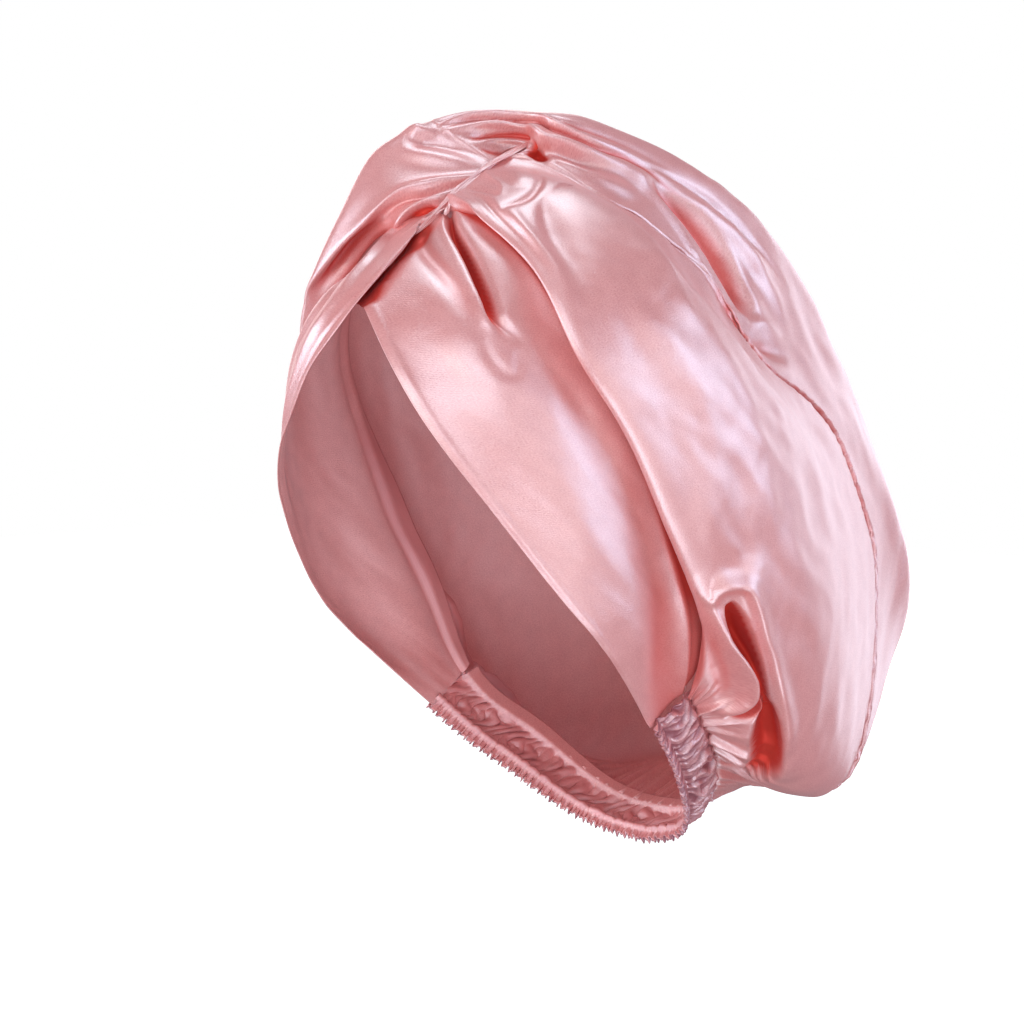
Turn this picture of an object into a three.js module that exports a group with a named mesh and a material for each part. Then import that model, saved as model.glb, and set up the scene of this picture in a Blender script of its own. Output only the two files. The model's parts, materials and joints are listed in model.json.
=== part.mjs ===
import * as THREE from "three";

// Silk hair wrap, worn form. Millimetres, +Z up, the face looks along -Y and
// the wearer's left is +X. The origin is the middle of the head at eye height.

// Driving sizes
const clothThickness = 1.5;
const casingThickness = 2.6;
const pieceGap = 0.45;
const casingGap = 0.8;
const headHalfWidth = 76;
const headHalfDepth = 93;
const headHalfHeight = 118;
const headSquareness = 2.6;
const joinStandOff = 0;
const leftBandStandOff = 3;
const rightBandStandOff = 8;
const rollRadius = 2.35;
const grid = { crownAcross: 17, crownAlong: 28, middleAcross: 18, bandAcross: 9, bandAlong: 24, casingAcross: 5, casingAlong: 44 };

const satin = { color: 0xe6b4b2, roughness: 0.36, metalness: 0 };

// Columns of a crown section, from the band round to the middle of the back.
const crownColumns = [
  { name: "under", across: 1.0 },
  { name: "roll", across: 0.93 },
  { name: "shoulder", across: 0.82 },
  { name: "side", across: 0.62 },
  { name: "seam", across: 0.42 },
  { name: "pleat", across: 0.2 },
  { name: "middle", across: 0.0 },
];

// One row for each section of the crown's left half, from the knot to the nape:
// where it is joined to the band, the front of its roll, the top of the roll,
// the fullest point, the seam of the back panel, that panel's shoulder, its middle.
const crownSections = [
  { along: 0.0, under: [5.7, -30, 122], roll: [5.7, -28, 126], shoulder: [5.7, -20, 131], side: [5.7, -9, 137], seam: [5.7, 3, 142], pleat: [5, 12, 147], middle: [0, 18, 149] },
  { along: 0.06, under: [20, -31, 118], roll: [23, -34, 123], shoulder: [28, -21, 130], side: [28, -3, 136], seam: [22, 15, 138], pleat: [13, 22, 157], middle: [0, 24, 162] },
  { along: 0.16, under: [45, -30, 103], roll: [51, -36, 105], shoulder: [58, -23, 109], side: [60, 10, 119], seam: [42, 40, 121], pleat: [24, 69, 149], middle: [0, 80, 154.5] },
  { along: 0.31, under: [68, -21, 67], roll: [74, -34, 68], shoulder: [83, -18, 71], side: [87, 28, 82], seam: [58, 84, 74], pleat: [34, 138, 110], middle: [0, 150, 120] },
  { along: 0.45, under: [77, -2, 34], roll: [83, -15, 36], shoulder: [92, 2, 37], side: [96, 58, 40], seam: [60, 128, 45], pleat: [36, 178, 66], middle: [0, 196, 72] },
  { along: 0.6, under: [78, 20, -8], roll: [85, 8, -4], shoulder: [94, 27, -7], side: [95, 88, -10], seam: [55, 173, 7], pleat: [42, 211, 6], middle: [0, 232, 14] },
  { along: 0.74, under: [75, 37, -38], roll: [83, 32, -37], shoulder: [91, 50, -44], side: [91, 110, -60], seam: [50, 200, -50], pleat: [38, 233, -56], middle: [0, 242, -52] },
  { along: 0.85, under: [70, 44, -60], roll: [79, 47, -60], shoulder: [86, 66, -74], side: [77, 120, -115], seam: [45, 192, -111], pleat: [26, 206, -92], middle: [0, 214, -90] },
  { along: 1.0, under: [62, 49, -76], roll: [62, 52, -79], shoulder: [60, 60, -87], side: [52, 78, -101], seam: [41, 94, -117], pleat: [22, 105, -131], middle: [0, 110, -135] },
];

// The right half stands fuller beside the knot: what is added to each section there.
const rightFullness = [
  { along: 0.06, under: [0, 0, 0], roll: [0, -2, 2], shoulder: [-2, -11, 8], side: [-3, -23, 13], seam: [-2, -27, 19], pleat: [-3, -14, 5], middle: [0, 0, 0] },
  { along: 0.16, under: [0, 0, 0], roll: [0, -5, 2], shoulder: [4, -13, 10], side: [8, -16, 19], seam: [4, -18, 25], pleat: [0, -8, 8], middle: [0, 0, 0] },
  { along: 0.31, under: [0, 0, 0], roll: [0, -2, 0], shoulder: [0, -3, 2], side: [0, -6, 6], seam: [0, -2, 4], pleat: [0, 0, 0], middle: [0, 0, 0] },
];

// One row for each section of a band, from the knot down to the ear: its edge on
// the face, and how far along the crown's front edge it meets the crown.
const leftBandSections = [
  { along: 0.0, meets: 0.0, edge: [6.5, -38, 116] },
  { along: 0.09, meets: 0.07, edge: [5, -60, 99] },
  { along: 0.18, meets: 0.16, edge: [3.5, -76, 84] },
  { along: 0.32, meets: 0.31, edge: [17, -85, 60] },
  { along: 0.44, meets: 0.42, edge: [33, -79.5, 37.5] },
  { along: 0.58, meets: 0.53, edge: [52, -64.5, 11] },
  { along: 0.72, meets: 0.65, edge: [67, -39, -25] },
  { along: 0.86, meets: 0.78, edge: [71.5, -14, -51] },
  { along: 1.0, meets: 0.985, edge: [61.5, 28, -87] },
];
const rightBandSections = [
  { along: 0.0, meets: 0.0, edge: [-6.5, -37, 118] },
  { along: 0.09, meets: 0.07, edge: [6, -60, 107] },
  { along: 0.18, meets: 0.16, edge: [3, -81.5, 87] },
  { along: 0.32, meets: 0.31, edge: [-18, -88, 60] },
  { along: 0.44, meets: 0.42, edge: [-36, -83, 37.5] },
  { along: 0.58, meets: 0.53, edge: [-56, -68, 11] },
  { along: 0.72, meets: 0.65, edge: [-70, -40, -25] },
  { along: 0.86, meets: 0.78, edge: [-71.5, -14, -51] },
  { along: 1.0, meets: 0.985, edge: [-61.5, 28, -87] },
];

// One row for each section of half the nape casing, from behind the ear to the
// middle: its lower edge. Its upper edge follows the crown's.
const casingSections = [
  { across: 1.0, lower: [61.3, 28.7, -87.8] },
  { across: 0.82, lower: [56, 44, -101] },
  { across: 0.62, lower: [47, 61, -115] },
  { across: 0.42, lower: [35, 79, -131] },
  { across: 0.2, lower: [18, 90, -141] },
  { across: 0.0, lower: [0, 93, -144] },
];

// The two rolled edges that lock round each other in the knot, from its low
// front end to its high back end.
const leftTwistRoute = [[2.8, -35, 121.5], [2.8, -28, 127.5], [2.6, -14, 137], [1.5, -1, 144.5], [-2, 9, 150.5]];
const rightTwistRoute = [[-1, -40, 122], [-2.6, -30, 129], [-2.8, -15, 138], [-7, -7.5, 146], [-14, -11, 153], [-20, -13, 157]];

// The folds that show. Each runs from one place to another on a panel, given as
// [across, along], with its width, its height (below zero it is a hollow) and
// how soon it fades at its two ends.
const crownFolds = [
  { name: "pocket behind the seam", from: [0.345, 0.1], to: [0.36, 0.4], width: 13, height: -8, fadeFrom: 0.2, fadeTo: 0.35 },
  { name: "ridge beyond the pocket", from: [0.27, 0.08], to: [0.29, 0.46], width: 14, height: 3.5, fadeFrom: 0.2, fadeTo: 0.4 },
  { name: "second pleat", from: [0.2, 0.05], to: [0.23, 0.46], width: 9, height: -4, fadeFrom: 0.3, fadeTo: 0.4 },
  { name: "third pleat", from: [0.1, 0.04], to: [0.12, 0.34], width: 8, height: -3, fadeFrom: 0.3, fadeTo: 0.5 },
  { name: "hollow behind the roll", from: [0.8, 0.1], to: [0.76, 0.55], width: 14, height: -2.5, fadeFrom: 0.3, fadeTo: 0.5 },
  { name: "valley over the casing", from: [0.76, 0.985], to: [0.735, 0.8], width: 16, height: -8, fadeFrom: 0.15, fadeTo: 0.5 },
  { name: "ear of the roll", from: [0.86, 0.96], to: [0.85, 0.8], width: 16, height: 4, fadeFrom: 0.3, fadeTo: 0.5 },
];
const bandFolds = [
  { name: "deep fold from the knot", from: [0.55, 0.05], to: [0.62, 0.3], width: 7, height: -5, fadeFrom: 0.2, fadeTo: 0.3 },
];
const crownUnits = { across: 240, along: 360 };
const bandUnits = { across: 70, along: 200 };
const gathers = { count: 17, height: 2.2, reach: 0.11, casingCount: 22, casingHeight: 1.1 };

// A natural cubic spline through values at knots, read at one place.
function splineThrough(knots, values, at) {
  const last = knots.length - 1;
  const bends = new Array(last + 1).fill(0);
  const shift = new Array(last + 1).fill(0);
  for (let i = 1; i < last; i++) {
    const before = knots[i] - knots[i - 1];
    const after = knots[i + 1] - knots[i];
    const slope = (values[i + 1] - values[i]) / after - (values[i] - values[i - 1]) / before;
    const pivot = 2 * (before + after) - before * bends[i - 1];
    bends[i] = after / pivot;
    shift[i] = (6 * slope - before * shift[i - 1]) / pivot;
  }
  for (let i = last - 1; i > 0; i--) shift[i] -= bends[i] * shift[i + 1];
  shift[last] = 0;
  let i = 0;
  while (i < last - 1 && at > knots[i + 1]) i++;
  const step = knots[i + 1] - knots[i];
  const b = (at - knots[i]) / step;
  const a = 1 - b;
  const curve = ((a ** 3 - a) * shift[i] + (b ** 3 - b) * shift[i + 1]) * step * step / 6;
  return a * values[i] + b * values[i + 1] + curve;
}

function splinePoint(knots, points, at) {
  const coordinate = (k) => splineThrough(knots, points.map((p) => p[k]), at);
  return new THREE.Vector3(coordinate(0), coordinate(1), coordinate(2));
}

const smoothStep = (low, high, x) => THREE.MathUtils.smoothstep(x, low, high);

// Both halves of the crown as one net: a section's points from the left edge
// across the middle to the right edge.
function crownNet() {
  const across = [...crownColumns.map((c) => c.across), ...crownColumns.slice(0, -1).reverse().map((c) => -c.across)];
  const rows = crownSections.map((section) => {
    const fuller = rightFullness.find((row) => row.along === section.along);
    const left = crownColumns.map((c) => section[c.name]);
    const right = crownColumns.slice(0, -1).reverse().map((c) => {
      const [x, y, z] = section[c.name];
      const [dx, dy, dz] = fuller ? fuller[c.name] : [0, 0, 0];
      return [-x + dx, y + dy, z + dz];
    });
    if (fuller) left[left.length - 1] = left[left.length - 1].map((v, k) => v + fuller.middle[k]);
    return [...left, ...right];
  });
  const order = across.map((_, i) => i).reverse();
  return {
    across: order.map((i) => across[i]),
    along: crownSections.map((s) => s.along),
    rows: rows.map((row) => order.map((i) => row[i])),
  };
}

const net = crownNet();

function crownPoint(across, along) {
  const sections = net.rows.map((row) => splinePoint(net.across, row, across).toArray());
  return splinePoint(net.along, sections, along);
}

// A point moved straight out from the head's middle until it stands the given
// distance off the head.
function offHead(point, standOff) {
  const x = point.x / (headHalfWidth + standOff);
  const y = point.y / (headHalfDepth + standOff);
  const z = Math.abs(point.z) / (headHalfHeight + standOff);
  const size = ((x * x + y * y) ** (headSquareness / 2) + z ** headSquareness) ** (1 / headSquareness);
  return point.clone().divideScalar(size);
}

function bandPoint(side, sections, standOff, across, along) {
  const knots = sections.map((s) => s.along);
  const edge = splinePoint(knots, sections.map((s) => s.edge), along);
  const join = crownPoint(side, splineThrough(knots, sections.map((s) => s.meets), along));
  join.addScaledVector(edge.clone().sub(join).normalize(), pieceGap);
  const straight = edge.clone().lerp(join, across);
  const draped = offHead(straight, THREE.MathUtils.lerp(standOff, joinStandOff, across));
  const free = Math.sin(Math.PI * across) * smoothStep(0.02, 0.3, along) * (1 - smoothStep(0.85, 1, along));
  return straight.lerp(draped, free);
}

function casingPoint(across, down) {
  const knots = casingSections.map((s) => s.across).reverse();
  const lower = splinePoint(knots, casingSections.map((s) => s.lower).reverse(), Math.abs(across));
  lower.x *= Math.sign(across) || 1;
  const crownEdge = crownPoint(across, 1);
  const upper = crownEdge.clone().addScaledVector(lower.clone().sub(crownEdge).normalize(), casingGap);
  return upper.lerp(lower, down);
}

// How far along a fold a place lies, and how far to its side in the same units.
function foldProfile(fold, across, along, units) {
  const dx = (fold.to[0] - fold.from[0]) * units.across;
  const dy = (fold.to[1] - fold.from[1]) * units.along;
  const length = Math.hypot(dx, dy);
  const px = (across - fold.from[0]) * units.across;
  const py = (along - fold.from[1]) * units.along;
  const t = (px * dx + py * dy) / (length * length);
  const aside = (px * dy - py * dx) / length;
  const ends = smoothStep(0, fold.fadeFrom, t) * (1 - smoothStep(1 - fold.fadeTo, 1, t));
  return fold.height * ends * Math.exp(-((aside / (fold.width / 2)) ** 2));
}

function foldHeight(folds, across, along, units) {
  return folds.reduce((sum, fold) => sum + foldProfile(fold, across, along, units), 0);
}

// A grid of points on a surface between 0 and 1 both ways, each moved along the
// surface's own outward direction by the height given there.
function raisedGrid(surface, height, steps, outward) {
  const nudge = 1e-3;
  const rows = [];
  for (let j = 0; j <= steps.along; j++) {
    const along = j / steps.along;
    const row = [];
    for (let i = 0; i <= steps.across; i++) {
      const across = i / steps.across;
      const du = surface(across + nudge, along).sub(surface(across - nudge, along));
      const dv = surface(across, along + nudge).sub(surface(across, along - nudge));
      const normal = du.cross(dv).normalize().multiplyScalar(outward);
      row.push(surface(across, along).addScaledVector(normal, height(across, along)));
    }
    rows.push(row);
  }
  return rows;
}

// One closed wall of cloth: the raised surface, the same surface a thickness
// further in, and the four narrow edges between them.
function clothWall(surface, height, thickness, steps, outward) {
  const outer = raisedGrid(surface, height, steps, outward);
  const inner = raisedGrid(surface, (across, along) => height(across, along) - thickness, steps, outward);
  const positions = [...outer, ...inner].flat().flatMap((point) => point.toArray());
  const wide = steps.across + 1;
  const high = steps.along + 1;
  const at = (i, j, layer) => (layer * high + j) * wide + i;
  const indices = [];
  const quad = (a, b, c, d) => (outward > 0 ? indices.push(a, b, c, a, c, d) : indices.push(a, c, b, a, d, c));
  for (let j = 0; j < high - 1; j++) {
    for (let i = 0; i < wide - 1; i++) {
      quad(at(i, j, 0), at(i + 1, j, 0), at(i + 1, j + 1, 0), at(i, j + 1, 0));
      quad(at(i, j, 1), at(i, j + 1, 1), at(i + 1, j + 1, 1), at(i + 1, j, 1));
    }
  }
  for (let i = 0; i < wide - 1; i++) {
    quad(at(i, 0, 0), at(i, 0, 1), at(i + 1, 0, 1), at(i + 1, 0, 0));
    quad(at(i, high - 1, 0), at(i + 1, high - 1, 0), at(i + 1, high - 1, 1), at(i, high - 1, 1));
  }
  for (let j = 0; j < high - 1; j++) {
    quad(at(0, j, 0), at(0, j + 1, 0), at(0, j + 1, 1), at(0, j, 1));
    quad(at(wide - 1, j, 0), at(wide - 1, j, 1), at(wide - 1, j + 1, 1), at(wide - 1, j + 1, 0));
  }
  const geometry = new THREE.BufferGeometry();
  geometry.setAttribute("position", new THREE.Float32BufferAttribute(positions, 3));
  geometry.setIndex(indices);
  return geometry;
}

function piece(name, geometry) {
  const mesh = new THREE.Mesh(geometry, new THREE.MeshStandardMaterial(satin));
  mesh.name = name;
  return mesh;
}

// Fine gathers that fade away from the knot and from the casing.
function crownHeight(across, along) {
  const wave = Math.sin(Math.abs(across) * gathers.count * Math.PI);
  const nearCasing = smoothStep(1 - gathers.reach, 1, along);
  const nearEdges = smoothStep(0, 0.08, 1 - Math.abs(across));
  const folds = foldHeight(crownFolds, Math.abs(across), along, crownUnits);
  const awayFromEnds = smoothStep(0, 0.03, along) * (1 - smoothStep(0.97, 1, along));
  return folds * awayFromEnds + gathers.height * wave * nearCasing * nearEdges * (1 - smoothStep(0.985, 1, along));
}

// How much of the crown's width half a gap is, where a seam crosses a section.
function halfGapAt(across, along) {
  const nudge = 1e-3;
  const speed = crownPoint(across + nudge, along).distanceTo(crownPoint(across - nudge, along)) / (2 * nudge);
  return pieceGap / 2 / speed;
}

// One panel of the crown between two places across it, stopping half a gap short
// of every seam that it shares.
function crownPanel(name, from, to, acrossSteps) {
  const trimmed = (place, direction, along) => (Math.abs(place) === 1 ? place : place + direction * halfGapAt(place, along));
  const surface = (u, along) => crownPoint(THREE.MathUtils.lerp(trimmed(from, 1, along), trimmed(to, -1, along), u), along);
  const height = (u, along) => crownHeight(THREE.MathUtils.lerp(from, to, u), along);
  const steps = { across: acrossSteps, along: grid.crownAlong };
  return piece(name, clothWall(surface, height, clothThickness, steps, 1));
}

function band(name, side, sections, standOff) {
  const surface = (across, along) => bandPoint(side, sections, standOff, across, along);
  const height = (across, along) => foldHeight(bandFolds, across, along, bandUnits);
  const steps = { across: grid.bandAcross, along: grid.bandAlong };
  return piece(name, clothWall(surface, height, clothThickness, steps, -side));
}

function casing(name) {
  const surface = (u, down) => casingPoint(2 * u - 1, down);
  const height = (u, down) => gathers.casingHeight * Math.sin(2 * u * gathers.casingCount * Math.PI) * Math.sin(Math.PI * down);
  const steps = { across: grid.casingAlong, along: grid.casingAcross };
  return piece(name, clothWall(surface, height, casingThickness, steps, 1));
}

// A rolled fold of cloth along a short route.
function rolledFold(name, route) {
  const path = new THREE.CatmullRomCurve3(route.map((p) => new THREE.Vector3(...p)));
  const section = new THREE.Shape().absarc(0, 0, rollRadius, 0, 2 * Math.PI, false);
  const geometry = new THREE.ExtrudeGeometry(section, { steps: 14, curveSegments: 5, extrudePath: path });
  return piece(name, geometry);
}

const seamAcross = 0.42;
const wrap = new THREE.Group();
wrap.add(crownPanel("crown_left", seamAcross, 1, grid.crownAcross));
wrap.add(crownPanel("crown_right", -1, -seamAcross, grid.crownAcross));
wrap.add(crownPanel("crown_middle", -seamAcross, seamAcross, grid.middleAcross));
wrap.add(band("band_left", 1, leftBandSections, leftBandStandOff));
wrap.add(band("band_right", -1, rightBandSections, rightBandStandOff));
wrap.add(rolledFold("twist_left", leftTwistRoute));
wrap.add(rolledFold("twist_right", rightTwistRoute));
wrap.add(casing("nape_casing"));

export default wrap;
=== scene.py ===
import json
import math
import bpy
import numpy as np
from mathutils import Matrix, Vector


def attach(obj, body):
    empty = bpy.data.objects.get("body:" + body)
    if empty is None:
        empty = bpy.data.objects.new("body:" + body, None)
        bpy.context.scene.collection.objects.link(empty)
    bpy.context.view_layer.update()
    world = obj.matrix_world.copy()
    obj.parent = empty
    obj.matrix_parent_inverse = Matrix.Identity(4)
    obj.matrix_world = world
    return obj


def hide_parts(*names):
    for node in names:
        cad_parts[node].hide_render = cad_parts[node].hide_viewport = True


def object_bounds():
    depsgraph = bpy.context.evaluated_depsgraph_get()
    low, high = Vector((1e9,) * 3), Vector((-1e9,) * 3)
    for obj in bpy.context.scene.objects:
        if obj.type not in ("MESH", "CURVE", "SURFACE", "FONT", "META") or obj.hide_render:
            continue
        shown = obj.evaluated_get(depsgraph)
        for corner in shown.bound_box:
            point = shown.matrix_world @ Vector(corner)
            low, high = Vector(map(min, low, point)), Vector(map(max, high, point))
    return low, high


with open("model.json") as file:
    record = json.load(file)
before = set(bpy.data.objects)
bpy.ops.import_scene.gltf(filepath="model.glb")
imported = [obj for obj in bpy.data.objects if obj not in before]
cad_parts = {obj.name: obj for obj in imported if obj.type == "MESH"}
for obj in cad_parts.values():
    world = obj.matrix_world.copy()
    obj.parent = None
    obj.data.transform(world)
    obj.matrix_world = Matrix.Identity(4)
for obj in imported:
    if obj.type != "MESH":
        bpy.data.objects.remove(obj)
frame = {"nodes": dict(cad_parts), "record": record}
cadLow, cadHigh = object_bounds()
print("frame loaded:", len(frame["nodes"]), "nodes")

# Every table below is in millimetres in the frame's own axes. This box is the wrap's size in the
# tables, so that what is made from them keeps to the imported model's box.
nominalBox = {"low": (-99.85, -88.51, -144.0), "high": (100.13, 243.08, 163.98)}


def inFrame(points):
    # a point keeps its share of the way through the box: packed low corner + share * packed size
    low, high = np.array(nominalBox["low"]), np.array(nominalBox["high"])
    size = np.array(cadHigh) - np.array(cadLow)
    return np.array(cadLow) + (np.asarray(points, float) - low) / (high - low) * size


# The head that the bands lie on, a rounded box: half its sizes in millimetres.
headForm = {"halfWidth": 76, "halfDepth": 93, "halfHeight": 118, "squareness": 2.6}

# The crown's left half. Each row is a section from the knot (along 0) to the nape (along 1), and
# its points go from the join with the band back to the middle of the back panel.
crownShape = {
    "across": [1.0, 0.93, 0.82, 0.62, 0.42, 0.2, 0.0],
    "along": [0, 0.06, 0.16, 0.31, 0.45, 0.6, 0.74, 0.85, 1.0],
    "points": [
        [[5.7, -30, 122], [5.7, -28, 126], [5.7, -20, 131], [5.7, -9, 137],
         [5.7, 3, 142], [5, 12, 147], [0, 18, 149]],
        [[20, -31, 118], [23, -34, 123], [28, -21, 130], [28, -3, 136],
         [22, 15, 138], [13, 22, 157], [0, 24, 162]],
        [[45, -30, 103], [51, -36, 105], [58, -23, 109], [60, 10, 119],
         [42, 40, 121], [24, 69, 149], [0, 80, 154.5]],
        [[68, -21, 67], [74, -34, 68], [83, -18, 71], [87, 28, 82],
         [58, 84, 74], [34, 138, 110], [0, 150, 120]],
        [[77, -2, 34], [83, -15, 36], [92, 2, 37], [96, 58, 40], [60, 128, 45], [36, 178, 66], [0, 196, 72]],
        [[78, 20, -8], [85, 8, -4], [94, 27, -7], [95, 88, -10], [55, 173, 7], [42, 211, 6], [0, 232, 14]],
        [[75, 37, -38], [83, 32, -37], [91, 50, -44], [91, 110, -60],
         [50, 200, -50], [38, 233, -56], [0, 242, -52]],
        [[70, 44, -60], [79, 47, -60], [86, 66, -74], [77, 120, -115],
         [45, 192, -111], [26, 206, -92], [0, 214, -90]],
        [[62, 49, -76], [62, 52, -79], [60, 60, -87], [52, 78, -101],
         [41, 94, -117], [22, 105, -131], [0, 110, -135]],
    ],
    # what the right half, which stands fuller beside the knot, adds to the mirrored sections
    "rightFuller": {
        0.06: [[0, 0, 0], [0, -2, 2], [-2, -11, 8], [-3, -23, 13], [-2, -27, 19], [-3, -14, 5], [0, 0, 0]],
        0.16: [[0, 0, 0], [0, -5, 2], [4, -13, 10], [8, -16, 19], [4, -18, 25], [0, -8, 8], [0, 0, 0]],
        0.31: [[0, 0, 0], [0, -2, 0], [0, -3, 2], [0, -6, 6], [0, -2, 4], [0, 0, 0], [0, 0, 0]],
    },
}

# Each band from the knot down to the ear: its edge on the face, and how far along the crown's
# front edge it is joined.
bandShape = {
    "meets": [0, 0.07, 0.16, 0.31, 0.42, 0.53, 0.65, 0.78, 0.985],
    "along": [0, 0.09, 0.18, 0.32, 0.44, 0.58, 0.72, 0.86, 1.0],
    "left": {
        "edge": [[-4, -37, 120], [-17, -63, 105], [-1, -78, 89], [24, -84, 60], [37.5, -78.5, 37.5],
                 [52, -64.5, 11], [67, -39, -25], [71.5, -14, -51], [61.5, 28, -87]],
        "standOff": 3,
    },
    "right": {
        "edge": [[-6.5, -37, 118], [6, -60, 107], [3, -81.5, 87], [-18, -88, 60], [-36, -83, 37.5],
                 [-56, -68, 11], [-70, -40, -25], [-71.5, -14, -51], [-61.5, 28, -87]],
        "standOff": 8,
    },
}

# The casing's lower edge from the left band (across 1) to the middle of the nape.
casingShape = {
    "across": [1.0, 0.82, 0.62, 0.42, 0.2, 0.0],
    "lower": [[61.3, 28.7, -87.8], [56, 44, -101], [47, 61, -115], [35, 79, -131], [18, 90, -141],
              [0, 93, -144]],
}


def splineWeights(knots, at):
    # natural cubic spline as a matrix: row i says how much of each knot's value there is at place i
    knots = np.asarray(knots, float)
    at = np.atleast_1d(np.asarray(at, float))
    count = len(knots)
    step = np.diff(knots)
    bend = np.zeros((count, count))
    rise = np.zeros((count, count))
    bend[0, 0] = bend[-1, -1] = 1
    inner = np.arange(1, count - 1)
    bend[inner, inner - 1] = step[:-1]
    bend[inner, inner] = 2 * (step[:-1] + step[1:])
    bend[inner, inner + 1] = step[1:]
    rise[inner, inner - 1] = 6 / step[:-1]
    rise[inner, inner] = -6 / step[:-1] - 6 / step[1:]
    rise[inner, inner + 1] = 6 / step[1:]
    curve = np.linalg.solve(bend, rise)
    left = np.clip(np.searchsorted(knots, at, side="right") - 1, 0, count - 2)
    width = step[left]
    a = (knots[left + 1] - at) / width
    b = 1 - a
    weights = ((a**3 - a) * width**2 / 6)[:, None] * curve[left]
    weights = weights + ((b**3 - b) * width**2 / 6)[:, None] * curve[left + 1]
    row = np.arange(len(at))
    weights[row, left] += a
    weights[row, left + 1] += b
    return weights


def smooth(low, high, x):
    # 0 below low, 1 above high, 3t^2 - 2t^3 between
    t = np.clip((x - low) / (high - low), 0, 1)
    return t * t * (3 - 2 * t)


def unit(vectors):
    # each vector / its own length
    return vectors / np.maximum(np.linalg.norm(vectors, axis=-1, keepdims=True), 1e-9)


def wholeCrownNet():
    # the left half's sections, and beside them their mirror image with the right side's fullness added
    left = np.array(crownShape["points"], float)
    right = left[:, :-1] * (-1, 1, 1)
    for place, added in crownShape["rightFuller"].items():
        row = crownShape["along"].index(place)
        right[row] += np.array(added, float)[:-1]
    net = np.concatenate([right, left[:, ::-1]], axis=1)
    across = [-a for a in crownShape["across"][:-1]] + crownShape["across"][::-1]
    return across, net


crownAcross, crownNet = wholeCrownNet()


def crownPoint(across, along):
    # a spline across each section, then a spline along the sections
    wide = splineWeights(crownAcross, across)
    long = splineWeights(crownShape["along"], along)
    return np.einsum("np,pqc,nq->nc", long, crownNet, wide, optimize=True)


def offHead(points, standOff):
    # point / its size in the head's rounded-box norm, so that it stands the given distance off the head
    x = points[:, 0] / (headForm["halfWidth"] + standOff)
    y = points[:, 1] / (headForm["halfDepth"] + standOff)
    z = np.abs(points[:, 2]) / (headForm["halfHeight"] + standOff)
    n = headForm["squareness"]
    size = ((x * x + y * y) ** (n / 2) + z**n) ** (1 / n)
    return points / size[:, None]


def bandPoint(name, across, along):
    # a straight line from the face edge to the crown's join, draped on the head between its two ends
    shape = bandShape[name]
    side = 1 if name == "left" else -1
    weights = splineWeights(bandShape["along"], along)
    edge = weights @ np.array(shape["edge"], float)
    join = crownPoint(np.full(len(edge), side * 1.0), weights @ np.array(bandShape["meets"], float))
    straight = edge + (join - edge) * across[:, None]
    draped = offHead(straight, shape["standOff"] * (1 - across))
    free = np.sin(np.pi * np.clip(across, 0, 1)) * smooth(0.02, 0.3, along) * (1 - smooth(0.85, 1, along))
    return straight + (draped - straight) * free[:, None]


def casingPoint(across, down):
    # straight down from the crown's own lower edge to the casing's
    knots = casingShape["across"][::-1]
    lower = splineWeights(knots, np.abs(across)) @ np.array(casingShape["lower"][::-1], float)
    lower[:, 0] *= np.where(across < 0, -1, 1)
    upper = crownPoint(across, np.ones(len(across)))
    return upper + (lower - upper) * down[:, None]


def withNormals(surface, u, v, outward=1):
    # the surface's points, and the cross product of its two slopes as the way out
    nudge = 1e-3
    points = surface(u, v)
    du = surface(u + nudge, v) - surface(u - nudge, v)
    dv = surface(u, v + nudge) - surface(u, v - nudge)
    return points, unit(np.cross(du, dv)) * outward


# How a fold is worked out: places from one station to the next, the widths it reaches out to, and
# how steep and how blunt its pointed section is. Its tip is the square root of the bluntness, so that
# the section is 1 in its middle.
foldForm = {"places": 48, "reach": 3.2, "steepness": 1.7, "bluntness": 0.02, "tip": 0.141}


def fold(line, closed=0, edge=(0.2, 0.75), sharp=0, flat=0, backWidth=1):
    # line is the fold's stations: across, along, height, width, and how far it leans to the front.
    # closed is how much painted shade, a deep red, its inside gets, between the two shares of its depth
    # in edge; sharp points its top or bottom, flat squares it, and backWidth widens its rear flank
    return dict(line=line, closed=closed, edge=edge, sharp=sharp, flat=flat, backWidth=backWidth)


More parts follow.
